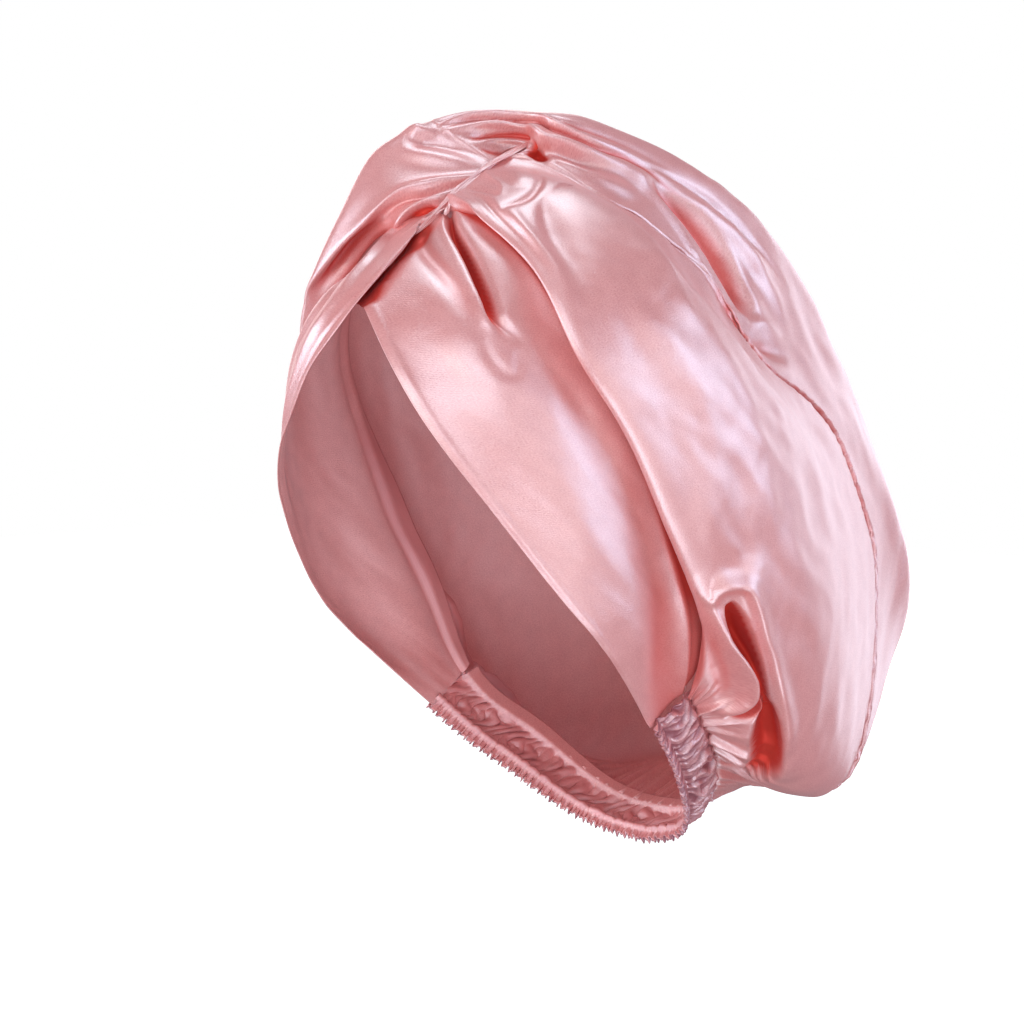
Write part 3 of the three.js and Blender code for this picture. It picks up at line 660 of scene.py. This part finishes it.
def crownRelief(u, v, x, y):
    # gathers = ridged waves across that swell towards the nape; a rolled rim and an open line run
    # beside each seam, with short puckers that fade with the distance from it
    rise = smooth(1 - napeGathers["reach"], 1, v) ** 1.4
    drift = napeGathers["drift"] * (1 - v) * np.sin(9 * u)
    relief = -sum(h * (2 * np.abs(np.sin(np.pi * n * (np.abs(u) + drift) + shift)) ** 0.8 - 1)
                  for n, h, shift in napeGathers["waves"]) * rise
    look = seamLook
    way = v * look["length"]
    aside = besideSeam(u, v)
    wander = seamWander(v)
    rim = np.where(u > 0, seams["left"]["rim"], seams["right"]["rim"])
    rim = rim * (0.45 + 0.55 * smooth(0.3, 0.36, v))  # flatter near the knot
    present = smooth(0.0, 0.02, v) * (1 - smooth(0.93, 1, v))
    opened = smooth(0.28, 0.34, v) * (1 - smooth(0.55, 0.7, v)) * 0.75 + 0.25
    ridge = np.exp(-(((aside - look["rimAside"] + wander) / look["rimWidth"]) ** 2))
    line = np.exp(-(((aside + look["lineAside"] + wander) / look["lineWidth"]) ** 2))
    relief += rim * look["rimHeight"] * ridge * present
    relief -= rim * look["lineDepth"] * opened * line * present
    pucker = np.sin(2 * np.pi * way / look["stitchPitch"] + 1.7 * np.sin(way / 13))
    pucker = pucker * (0.6 + 0.4 * np.sin(way / 29 + 1)) * look["puckerHeight"]
    relief += pucker * np.exp(-np.abs(aside) / look["puckerReach"]) * smooth(0.1, 0.25, v)
    rolled = smooth(*rollEdge["across"], np.abs(u)) ** 2 * smooth(0.01, 0.06, v) * (1 - smooth(0.88, 1, v))
    relief -= rollEdge["depth"] * rolled
    relief += rollEdge["farKnotFlare"] * smooth(0.93, 1, -u) * (1 - smooth(0.06, 0.13, v))
    # the buckles are calm at the knot, at the roll, at the nape and beside the pouch's seam
    calm = smooth(0.08, 0.25, v) * (1 - 0.85 * smooth(0.78, 0.88, np.abs(u))) * (1 - 0.6 * smooth(0.85, 1, v))
    calm *= 1 - 0.55 * smooth(0.48, 0.6, v) * (1 - smooth(0.58, 0.7, np.abs(u)))
    return relief + buckled(x, y, softBuckles) * calm


def seamShade(u, v):
    # painted shade in the open part of each seam, a deep red between its stitches: a bell across, a sine
    # along
    look = seamLook
    opened = smooth(0.24, 0.3, v) * (1 - smooth(0.6, 0.72, v)) * np.where(u > 0, 1, seams["right"]["rim"])
    swell = 0.75 + 0.25 * np.sin(2 * np.pi * v * look["length"] / look["stitchPitch"] + 1)
    line = np.exp(-(((besideSeam(u, v) + look["lineAside"] + seamWander(v)) / look["shadeWidth"]) ** 2))
    return look["shade"] * opened * swell * line


def closerRows(count):
    # rows stand closer at the knot and round the lobe: place = inverse of the summed density
    way = np.linspace(0, 1, 4001)
    density = 1 + 2.2 * np.exp(-((way / 0.09) ** 2)) + 1.6 * np.exp(-(((way - 0.79) / 0.1) ** 2))
    total = np.cumsum(density)
    return np.interp(np.linspace(0, 1, count), (total - total[0]) / (total[-1] - total[0]), way)


# The three panels of the crown: the CAD node that each stands for, its two edges, how its columns
# are shared out between them, and its columns and rows.
panels = {
    "sidePanelLeft": {"node": "crown_left", "edges": ("leftSeam", "leftFront"),
                      "columns": ([0, 0.1, 0.5, 1], [0, 0.035, 0.6, 1]), "count": (160, 300)},
    "sidePanelRight": {"node": "crown_right", "edges": ("rightFront", "rightSeam"),
                       "columns": ([0, 0.5, 0.9, 1], [0, 0.4, 0.965, 1]), "count": (160, 300)},
    "backPanel": {"node": "crown_middle", "edges": ("rightSeam", "leftSeam"),
                  "columns": ([0, 0.06, 0.94, 1], [0, 0.02, 0.98, 1]), "count": (180, 270)},
}


def panelEdge(edge, v):
    # a panel ends at a seam, or at the crown's front edge, where across is 1 or -1
    if edge.endswith("Front"):
        return np.full(len(v), 1.0 if edge == "leftFront" else -1.0)
    return seamAt("left", v) if edge == "leftSeam" else -seamAt("right", v)


def crownSheet(name, panel):
    # the crown's surface between the panel's edges + its relief + every fold; the panel is drawn into
    # the knot at its upper end
    wide, high = panel["count"]
    v = np.repeat(closerRows(high), wide)
    share = np.tile(np.interp(np.linspace(0, 1, wide), *panel["columns"]), high)
    first, last = (panelEdge(edge, v) for edge in panel["edges"])
    u = first + (last - first) * share
    base, up = withNormals(crownPoint, u, v)
    x, y = arcLengths(base.reshape(high, wide, 3))
    moved = base + up * crownRelief(u, v, x.ravel(), y.ravel())[:, None]
    # the painted shade starts from the seams' and takes the folds' where stronger
    moved, hollow = addFolds(crownFolds, crownPoint, 1, base, moved, seamShade(u, v))
    # painted shade on the rolled edge's underside
    rolled = smooth(*rollEdge["across"], np.abs(u)) * smooth(0.01, 0.06, v)
    hollow = np.maximum(hollow, rollEdge["shade"] * rolled)
    fade = (1 - smooth(0, knotDraw["reach"], v)) * smooth(0.2, 0.42, np.abs(u))
    moved += np.where(u[:, None] > 0, knotDraw["near"], knotDraw["far"]) * fade[:, None]
    return sheetPiece(name, panel["node"], moved, (x, y), hollow, 1, pinkSatin)


# How the bands go on under the crown's rolled edge: how far across they reach, and how much further
# at their lower end and, for the right one, up into the knot; where and how deep they dip, in
# millimetres; and how much painted shade, a deep red, they get beside the roll, with what is added from one
# place to another.
bandTuck = {
    "reach": 1.065, "lower": 0.08, "upper": 0.045,
    "across": (0.96, 1.03), "depth": 2.6,
    "shade": 0.6, "shadeAtKnot": 0.5, "shadeAtTemple": -0.7, "shadeAtEar": 0.6,
}


def bandSheet(name, band):
    # the band's surface + soft buckles + its folds, less its dip; steps are finer near knot and hem
    tuck, side = bandTuck, band["side"]
    wide, high = band["count"]
    right = side == "right"
    v = np.repeat(np.linspace(0, 1, high) ** 1.25, wide)
    u = np.tile(np.interp(np.linspace(0, 1, wide), [0, 0.12, 1], [0, 0.05, tuck["reach"]]), high)
    v = v - tuck["upper"] * (1 - smooth(0, 0.06, v)) * smooth(0.25, 0.5, u) * right
    further = smooth(0.4, 0.65, v) + (1 - smooth(0.1, 0.2, v)) * right
    u = u + tuck["lower"] * smooth(0.97, tuck["reach"], u) * further

    def surface(across, along):
        return bandPoint(side, across, along)

    outward = 1 if right else -1
    base, up = withNormals(surface, u, v, outward)
    x, y = arcLengths(base.reshape(high, wide, 3))
    calm = smooth(0.1, 0.3, v) * 0.5
    moved = base + up * (buckled(x.ravel(), y.ravel(), softBuckles) * calm)[:, None]
    moved -= up * (tuck["depth"] * smooth(*tuck["across"], u) * smooth(0.1, 0.2, v))[:, None]
    # painted shade beside the roll: stronger at the knot and the ear, weaker at the temple
    shade = 1 + tuck["shadeAtKnot"] * (1 - smooth(0.12, 0.24, v))
    shade += tuck["shadeAtTemple"] * smooth(0.28, 0.34, v) * (1 - smooth(0.44, 0.52, v))
    shade += tuck["shadeAtEar"] * smooth(0.46, 0.54, v) * (1 - smooth(0.78, 0.86, v))
    shade = tuck["shade"] * shade * smooth(0.92, 1, u)
    moved, hollow = addFolds(band["folds"].values(), surface, outward, base, moved, shade)
    return sheetPiece(name, band["node"], moved, (x, y), hollow, outward, pinkSatin)


# The bands' folds. Across is 0 at the face edge and 1 at the crown; along is 0 at the knot and 1
# behind the ear.
nearBandFolds = {
    "hollow from the knot": fold([[0.5, 0, -1, 2.5], [0.53, 0.06, -2.2, 3], [0.51, 0.13, -2.4, 4],
        [0.505, 0.2, -2, 4.5], [0.49, 0.255, -1.2, 5], [0.47, 0.31, 0, 6]], closed=0.25),
    "lip of the deep fold": fold([[0.7, 0, 1, 1.4, 0], [0.705, 0.07, 1.6, 1.6, -0.5],
        [0.655, 0.14, 1.8, 1.8, -1.5], [0.59, 0.2, 1.8, 1.8, -2], [0.555, 0.25, 1.6, 1.8, -1.5],
        [0.55, 0.28, 1.2, 2, -0.5], [0.585, 0.3, 0, 2, 0]]),
    "deep fold from the knot": fold([[0.8, 0, -3.5, 1.5], [0.757, 0.08, -6.5, 2], [0.7, 0.145, -8.5, 2.5],
        [0.645, 0.2, -9, 3], [0.615, 0.245, -7.5, 3], [0.6, 0.275, -4, 2.8], [0.63, 0.3, -1.5, 3],
        [0.66, 0.32, 0, 3]], closed=0.97, edge=(0.18, 0.52)),
    "ridge behind the deep fold": fold([[0.96, 0, 1, 2], [0.88, 0.07, 1.5, 3.4], [0.83, 0.125, 1.6, 5],
        [0.81, 0.18, 1.4, 6], [0.77, 0.24, 1, 6], [0.73, 0.29, 0, 6]]),
    "eye at the fold's end": fold([[0.52, 0.285, 0, 2.2], [0.468, 0.33, -0.55, 2.4],
        [0.478, 0.365, -0.65, 2.6], [0.53, 0.37, -0.6, 2.6], [0.59, 0.345, -0.5, 2.6],
        [0.68, 0.31, 0, 2.6]]),
    "crest and trough beside the roll": fold([[0.88, 0.34, 0, 5], [0.88, 0.42, 0.9, 7], [0.88, 0.52, 0.9, 8],
        [0.87, 0.6, -0.6, 9], [0.87, 0.7, -2.6, 10], [0.88, 0.8, -2, 9], [0.9, 0.88, 0, 8]]),
    "front ridge at the knot": fold([[0.4, 0, 1, 2], [0.42, 0.05, 1.4, 2.4], [0.36, 0.1, 1, 3],
        [0.3, 0.15, 0, 3]]),
    "soft valley": fold([[0.32, 0.2, 0, 6], [0.289, 0.28, -1, 7], [0.255, 0.34, -1, 7], [0.2, 0.42, 0, 8]]),
    "under the far band": fold([[0.47, 0.015, 0, 1.6], [0.425, 0.04, -1.5, 2], [0.365, 0.073, -4, 2.6],
        [0.26, 0.09, -8, 3.2], [0.15, 0.108, -10, 3.4], [0.075, 0.13, -10, 3.4], [0.005, 0.155, -9, 3.4],
        [-0.015, 0.18, -5, 3], [-0.03, 0.2, 0, 2.6]], closed=0.95, edge=(0, 0.1), backWidth=2.4),
    "hem's hidden corner": fold([[0.32, 0.02, 0, 4], [0.22, 0.045, -4, 5], [0.12, 0.06, -6, 6],
        [0.03, 0.09, -6, 6], [-0.01, 0.13, -3, 5], [-0.02, 0.16, 0, 4]], closed=0.5),
    "shade at the lower end": fold([[0.82, 0.66, 0, 10], [0.76, 0.78, -2.6, 14], [0.68, 0.9, -3.6, 15],
        [0.62, 1, -3.6, 15]], closed=0.45, edge=(0.2, 1)),
    "hem turned under": fold([[0, 0, -0.6, 1.2], [0, 0.3, -0.8, 1.4], [0, 0.6, -0.8, 1.4],
        [0, 1, -0.8, 1.4]]),
    "hem's own ridge": fold([[0.05, 0.12, 0, 1.2], [0.05, 0.3, 0.35, 1.3], [0.045, 0.6, 0.35, 1.3],
        [0.04, 0.97, 0.35, 1.3]]),
}
farBandFolds = {
    "long swell of the band": fold([[1, 0.04, 0, 2], [0.9, 0.102, 2.2, 2.2], [0.8, 0.13, 2.6, 2.4],
        [0.484, 0.15, 2.8, 2.6], [0.365, 0.175, 2.8, 2.8], [0.283, 0.204, 2.6, 2.8], [0.25, 0.237, 2.2, 3],
        [0.22, 0.3, 1.8, 3], [0.2, 0.5, 1, 3], [0.2, 0.7, 0, 3]]),
    "mauve valley of the band": fold([[0.7, 0.17, 0, 2.5], [0.553, 0.202, -2, 3], [0.42, 0.235, -2.2, 3.2],
        [0.36, 0.3, -1.6, 3.4], [0.33, 0.45, 0, 4]]),
    "hem rolled over": fold([[0, 0, 0, 1.2], [0, 0.05, 0.3, 1.3], [0.01, 0.12, 1.2, 1.3],
        [0.02, 0.3, 0.9, 1.4], [0.02, 0.6, 0.4, 1.6], [0, 1, 0, 2]]),
    "line beside the hem": fold([[0.1, 0.06, 0, 0.9], [0.12, 0.12, -1, 1.1], [0.13, 0.25, -1, 1.2],
        [0.12, 0.45, -0.6, 1.4], [0.1, 0.7, 0, 1.5]]),
}

# The two bands: the CAD node that each stands for, its side, its folds, and its columns and rows.
bands = {
    "faceBandLeft": {"node": "band_left", "side": "left", "folds": nearBandFolds, "count": (120, 320)},
    "faceBandRight": {"node": "band_right", "side": "right", "folds": farBandFolds, "count": (120, 300)},
}
pieces = {name: crownSheet(name, panel) for name, panel in panels.items()}
for name, band in bands.items():
    pieces[name] = bandSheet(name, band)


# The two rolled edges locked in the knot. Each row is x, y, z, half width and half height in
# millimetres; the far one goes over the middle and ends as the near loop's edge.
rollForm = {
    "pleats": 3, "finePleats": 8,  # ridges round it
    "depth": 0.26, "fineDepth": 0.091, "fineTurn": 4,  # shares of its size, and radians from end to end
    "roundedEnd": 0.09, "radius": 3,  # share of the path, and about how thick it is in millimetres
}
twists = {
    "twistRight": {
        "node": "twist_right", "turns": 0.9,
        "path": [[-3.4, -45, 112.2, 0.7, 0.5], [-1.2, -39.6, 117.2, 1.1, 0.9], [0.2, -29.7, 125.2, 1.4, 1.2],
                 [0.8, -22, 131.0, 1.3, 1.2], [0.6, -13, 136.1, 1.3, 1.0], [0.2, -4, 140.6, 1.8, 0.8],
                 [0.2, 6, 144.9, 2.1, 0.7], [0.9, 16, 149.2, 1.9, 0.6], [1.8, 22, 151.5, 1.2, 0.5]],
    },
    "twistLeft": {
        "node": "twist_left", "turns": -0.7,
        "path": [[4.5, -34.5, 120.4, 0.8, 0.6], [3.0, -31.0, 123.2, 1.1, 0.9], [0.6, -27.5, 126.2, 1.2, 1.0],
                 [-3.5, -23, 127.8, 1.2, 1.0], [-9, -20, 128.2, 1.0, 0.8], [-15, -18.5, 127.2, 0.7, 0.5]],
    },
}


def rolledEdge(name, twist, around=96, along=160):
    # ring = path + aside * half width * cos + up * half height * sin, all times 1 + depth * cos of the
    # pleats, which turn slowly along the path; the ends round off to a pole
    rows = np.array(twist["path"], float)
    order = np.arange(len(rows))
    t = np.linspace(0, order[-1], along)
    values = splineWeights(order, t) @ rows
    spine, wide, high = values[:, :3], values[:, 3], values[:, 4]
    ahead = unit(np.gradient(spine, axis=0))
    aside = np.array([1.0, 0, 0]) - ahead * ahead[:, :1]
    if abs(ahead[:, 0]).max() > 0.7:  # a path that runs sideways
        aside = np.cross(ahead, (0, -0.45, 0.9))
    aside = unit(aside)
    up = unit(np.cross(aside, ahead))
    way = t / order[-1]
    toEnd = np.clip(np.minimum(way, 1 - way) / rollForm["roundedEnd"], 0, 1)
    end = np.sqrt(np.clip(1 - (1 - toEnd) ** 2, 0, 1))
    angle = np.linspace(0, 2 * np.pi, around, endpoint=False)
    swung = angle[None] + 2 * np.pi * twist["turns"] * way[:, None]
    pleat = 1 + rollForm["depth"] * np.cos(rollForm["pleats"] * swung)
    fine = rollForm["finePleats"] * angle[None] + rollForm["fineTurn"] * way[:, None]
    pleat *= 1 + rollForm["fineDepth"] * np.cos(fine)
    reach = (pleat * end[:, None])[..., None]
    ring = spine[:, None] + reach * (aside[:, None] * (wide[:, None] * np.cos(angle)[None])[..., None]
                                     + up[:, None] * (high[:, None] * np.sin(angle)[None])[..., None])
    inner = ring[1:-1].reshape(-1, 3)
    points = np.concatenate([inner, spine[:1], spine[-1:]])
    corner = np.arange(len(inner)).reshape(along - 2, around)
    after = np.roll(corner, -1, axis=1)
    quads = np.stack([corner[:-1], corner[1:], after[1:], after[:-1]], axis=-1).reshape(-1, 4)
    heads = np.stack([np.full(around, len(inner)), corner[0], after[0]], axis=-1)
    tails = np.stack([np.full(around, len(inner) + 1), after[-1], corner[-1]], axis=-1)
    lengths = np.concatenate([[0], np.cumsum(np.linalg.norm(np.diff(spine, axis=0), axis=1))])
    flat = np.stack(np.broadcast_arrays(angle[None] * rollForm["radius"], lengths[:, None]), axis=-1)
    flat = np.concatenate([flat[1:-1].reshape(-1, 2), flat[:1, 0], flat[-1:, 0]])
    faces = quads.tolist() + heads.tolist() + tails.tolist()
    return clothPiece(name, twist["node"], points, faces, flat, [pinkSatin])


rolledEdges = {name: rolledEdge(name, twist) for name, twist in twists.items()}


# The casing over the elastic. Its gathers are rows of wave length along it, height and start.
casingLook = {
    "node": "nape_casing", "count": (560, 50), "thickness": 0.6,
    "reach": 1.03, "tuck": -0.3,  # how far it goes on past the bands and up inside the panels
    "gathers": [[5.2, 1.6, 0.4], [8.7, 1.4, 2.0], [3.1, 0.7, 1.1]], "puff": 2.2, "hidden": 1.8,
    "stitchAt": 0.76, "stitchDepth": 1.3, "stitchWidth": 0.05,
    "frillPitch": 1.9, "frillHeight": 1.2, "frillFlare": 1.6, "lowered": 0.9,
    "shade": 0.8,
}


def casingSheet(name, look):
    # crumpled gathers = ridged waves along the casing whose phase drifts by slower waves; the cloth
    # puffs between the two rows of stitching, and the frill below is a fine wave that grows to its edge
    wide, high = look["count"]
    u = np.tile(np.linspace(-look["reach"], look["reach"], wide), high)
    down = np.repeat(np.linspace(look["tuck"], 1, high), wide)
    base, up = withNormals(casingPoint, u, down)
    x, y = arcLengths(base.reshape(high, wide, 3))
    s, drop = x.ravel(), y.ravel()
    lean = s + 0.35 * drop
    stitch = look["stitchAt"]
    inside = np.sin(np.pi * np.clip(down / stitch, 0, 1)) ** 0.6
    crumple = np.zeros_like(s)
    for length, height, start in look["gathers"]:
        phase = np.pi * lean / length + start + 0.9 * np.sin(lean / 4.3 + drop / 2.7)
        phase = phase + 0.8 * np.sin(drop / 3.1 + lean / 7)
        swell = 0.6 + 0.4 * np.sin(lean / 6.1 - drop / 2.3 + 3 * start)
        crumple += height * swell * (1 - 2 * np.abs(np.sin(phase)) ** 0.8)
    shown = smooth(-0.04, 0.08, down)
    gathered = crumple * (0.35 + 0.65 * inside) * (1 - smooth(stitch, stitch + 0.1, down)) * shown
    relief = look["puff"] * inside + gathered - look["hidden"] * (1 - shown)
    relief -= look["stitchDepth"] * np.exp(-(((down - stitch) / look["stitchWidth"]) ** 2))
    frill = smooth(stitch, 1, down)
    wave = np.sin(2 * np.pi * s / look["frillPitch"] + 1.3 * np.sin(s / 5))
    relief += frill * (look["frillHeight"] * wave + look["frillFlare"])
    moved = base + up * relief[:, None]
    uneven = 1 + 0.8 * np.sin(2 * np.pi * s / (1.7 * look["frillPitch"]) + 0.6)
    moved[:, 2] -= look["lowered"] * frill * uneven
    # painted shade in the valleys of the gathers
    valley = look["shade"] * smooth(-0.3, 1.6, -crumple) * shown
    return sheetPiece(name, look["node"], moved, (x, y), valley, 1, shadedGatheredSatin,
                      look["thickness"])


pieces["napeCasing"] = casingSheet("napeCasing", casingLook)
camera = {"azimuth": 42, "elevation": 4, "distance": 1.5, "lens": 129.2, "aimAside": 0.00694}
# Big square lamps all round, one metre across, at the same distance in metres from the head's middle.
lampDistance, lampSize = 1.6, 1.0
lamps = {
    "windowLeft": {"azimuth": -40, "elevation": 0, "power": 14, "colour": "#EAF3FF"},
    "windowFront": {"azimuth": 0, "elevation": 0, "power": 9.8, "colour": "#FFF5F2"},
    "overCamera": {"azimuth": 40, "elevation": 21, "power": 8.2, "colour": "#F0F5FF"},
    "windowSide": {"azimuth": 84, "elevation": -2, "power": 3.4, "colour": "#FFEDE8"},
    "windowRight": {"azimuth": 124, "elevation": 11, "power": 10.4, "colour": "#D8E8FF"},
    "windowBehind": {"azimuth": 188, "elevation": 0, "power": 9, "colour": "#F0F4FF"},
    "windowFar": {"azimuth": 232, "elevation": 12, "power": 10, "colour": "#FFF4F0"},
    "ceiling": {"azimuth": 200, "elevation": 80, "power": 11, "colour": "#F2F8FF"},
    "paleTable": {"azimuth": 60, "elevation": -40, "power": 10.5, "colour": "#F6F6FF"},
}
room = {"seen": "#FFFFFF", "felt": "#E4F1FF", "feltStrength": 0.27,
        "floor": "#F8F8F8", "floorBelow": 0.45, "floorHalf": 6.0}


def turned(azimuth, elevation):
    # the way from the head to a place so many degrees round from the front and up
    a, e = math.radians(azimuth), math.radians(elevation)
    return np.array([math.sin(a) * math.cos(e), -math.cos(a) * math.cos(e), math.sin(e)])


def facing(thing, place, target):
    # cameras and lamps look down their own -Z
    thing.location = place
    thing.rotation_mode = "QUATERNION"
    thing.rotation_quaternion = (Vector(target) - Vector(place)).to_track_quat("-Z", "Y")


headSeat = np.array(frame["record"]["mounts"][0]["pos_m"])
view = bpy.data.cameras.new("view")
view.lens = camera["lens"]
view.sensor_width = 36
viewObject = bpy.data.objects.new("view", view)
bpy.context.scene.collection.objects.link(viewObject)
a = math.radians(camera["azimuth"])
aim = headSeat + np.array([math.cos(a), math.sin(a), 0]) * camera["aimAside"]
facing(viewObject, aim + turned(camera["azimuth"], camera["elevation"]) * camera["distance"], aim)
bpy.context.scene.camera = viewObject

for name, lamp in lamps.items():
    data = bpy.data.lights.new(name, "AREA")
    data.size = lampSize
    data.energy = lamp["power"]
    data.color = linear(lamp["colour"])[:3]
    lampObject = bpy.data.objects.new(name, data)
    bpy.context.scene.collection.objects.link(lampObject)
    facing(lampObject, headSeat + turned(lamp["azimuth"], lamp["elevation"]) * lampDistance, headSeat)

world = bpy.data.worlds.new("paleRoom")
bpy.context.scene.world = world
world.use_nodes = True
tree = world.node_tree
tree.nodes.clear()
# white where the camera sees the room itself, a dim cool light everywhere else
seen = addNode(tree, "ShaderNodeBackground", None, {"Color": linear(room["seen"]), "Strength": 1.0})
felt = addNode(tree, "ShaderNodeBackground", None, {
    "Color": linear(room["felt"]), "Strength": room["feltStrength"]})
path = addNode(tree, "ShaderNodeLightPath")
either = addNode(tree, "ShaderNodeMixShader", None,
                 {0: path.outputs["Is Camera Ray"], 1: felt.outputs[0], 2: seen.outputs[0]})
addNode(tree, "ShaderNodeOutputWorld", None, {"Surface": either.outputs[0]})

floorMesh = bpy.data.meshes.new("floor")
half, depth = room["floorHalf"], cadLow[2] - room["floorBelow"]
corners = [(-half, -half, depth), (half, -half, depth), (half, half, depth), (-half, half, depth)]
floorMesh.from_pydata(corners, [], [(0, 1, 2, 3)])
floorPaint = bpy.data.materials.new("paleFloor")
floorPaint.use_nodes = True
for socket, value in {"Base Color": linear(room["floor"]), "Roughness": 0.9,
                      "Emission Color": (1, 1, 1, 1), "Emission Strength": 1.0}.items():
    floorPaint.node_tree.nodes["Principled BSDF"].inputs[socket].default_value = value
floorMesh.materials.append(floorPaint)
floor = bpy.data.objects.new("floor", floorMesh)
bpy.context.scene.collection.objects.link(floor)
floor.visible_diffuse = floor.visible_glossy = floor.visible_shadow = False

bpy.context.scene.view_settings.view_transform = "Standard"
print("room made")
